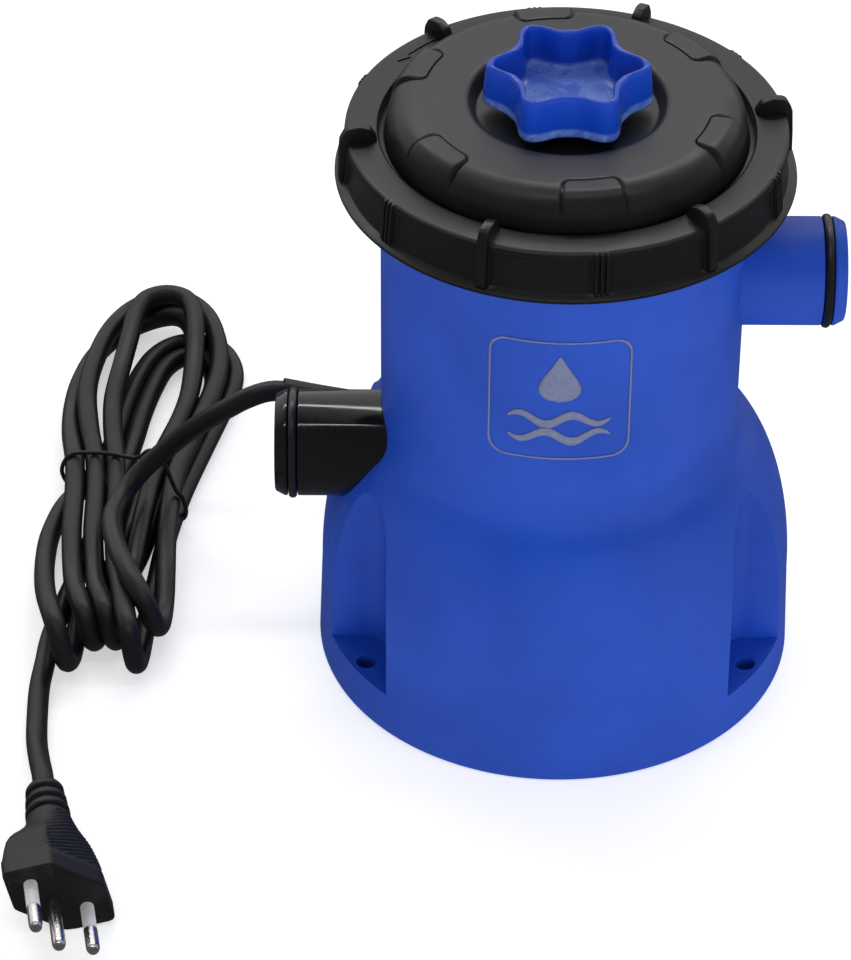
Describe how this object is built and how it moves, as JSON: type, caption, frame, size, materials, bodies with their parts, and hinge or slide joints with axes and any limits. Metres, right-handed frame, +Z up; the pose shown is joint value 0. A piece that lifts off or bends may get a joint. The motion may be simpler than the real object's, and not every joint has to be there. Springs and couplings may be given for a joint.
{
  "type": "pool filter pump",
  "caption": "Cartridge filter pump for a small pool: drum housing with side hose spigots, screw-on lock ring, domed lid with a star knob, mains cord with plug.",
  "frame": {"origin": "on the body axis, at the floor under the housing", "axes": "+Z up along the body axis, +X out of the inlet spigot, -Y the front"},
  "size_m": [0.2453, 0.3171, 0.2081],
  "materials": {
    "body_blue": "satin moulded polypropylene",
    "knob_blue": "glossy moulded plastic",
    "lid_black": "satin moulded plastic",
    "pump_black": "polished moulded plastic",
    "seal_rubber": "soft black rubber",
    "filter_paper": "pleated spun polyester paper",
    "cap_vinyl": "soft cast vinyl",
    "core_white": "plain moulded plastic",
    "impeller_white": "plain moulded plastic",
    "ferrite": "sintered ferrite magnet",
    "steel": "stainless steel",
    "bush_ceramic": "white alumina",
    "lamination": "stacked electrical steel",
    "coil_wrap": "copper winding under varnished tape",
    "cord_pvc": "soft black cable jacket",
    "nickel": "nickel-plated brass",
    "pin_sleeve": "insulating pin sleeve"
  },
  "bodies": {
    "root": {"housing": "body_blue", "base_plate": "lid_black", "base_screw_1": "steel", "base_screw_2": "steel", "base_screw_3": "steel", "base_screw_4": "steel", "pump_body": "pump_black", "volute_cover": "pump_black", "pump_gasket": "seal_rubber", "pump_screw_1": "steel", "pump_screw_2": "steel", "pump_screw_3": "steel", "pump_screw_4": "steel", "rotor_shaft": "steel", "shaft_bush_lower": "bush_ceramic", "shaft_bush_upper": "bush_ceramic", "stator_core": "lamination", "coil_left": "coil_wrap", "coil_right": "coil_wrap", "inlet_oring": "seal_rubber", "outlet_oring": "seal_rubber", "cord_strain_relief": "cord_pvc", "cord_lead": "cord_pvc", "cord_hank": "cord_pvc", "cord_tail": "cord_pvc", "cord_tie": "cord_pvc", "plug_body": "cord_pvc", "plug_pin_line": "nickel", "plug_pin_neutral": "nickel", "plug_pin_earth": "nickel", "plug_sleeve_line": "pin_sleeve", "plug_sleeve_neutral": "pin_sleeve"},
    "lid": {"cover": "lid_black", "cover_gasket": "seal_rubber"},
    "collar": {"lock_collar": "lid_black"},
    "valve": {"air_valve_oring": "seal_rubber"},
    "knob": {"air_valve_knob": "knob_blue"},
    "cartridge": {"cartridge_top_cap": "cap_vinyl", "cartridge_bottom_cap": "cap_vinyl", "cartridge_pleats": "filter_paper", "cartridge_core": "core_white"},
    "rotor": {"rotor_magnet": "ferrite", "impeller": "impeller_white"}
  },
  "joints": [
    {"name": "lid_lift", "type": "slide", "parent": "root", "child": "lid", "axis": [0, 0, 1], "range_m": [0, 0.2]},
    {"name": "collar_turn", "type": "hinge", "parent": "lid", "child": "collar", "pos_m": [0, 0, 0.18], "axis": [0, 0, 1], "range_deg": [0, 450]},
    {"name": "cartridge_lift", "type": "slide", "parent": "root", "child": "cartridge", "axis": [0, 0, 1], "range_m": [0, 0.1]},
    {"name": "valve_rise", "type": "slide", "parent": "lid", "child": "valve", "axis": [0, 0, 1], "range_m": [0, 0.0046]},
    {"name": "valve_turn", "type": "hinge", "parent": "valve", "child": "knob", "pos_m": [0, 0, 0.2], "axis": [0, 0, 1], "range_deg": [0, 540]},
    {"name": "rotor_spin", "type": "hinge", "parent": "root", "child": "rotor", "pos_m": [0, 0, 0.05], "axis": [0, 0, 1], "continuous": true}
  ],
  "couplings": [
    {"joint": "cartridge_lift", "follows": "lid_lift", "ratio": 0.5},
    {"joint": "valve_rise", "follows": "valve_turn", "m_per_rad": 0.00047746}
  ]
}
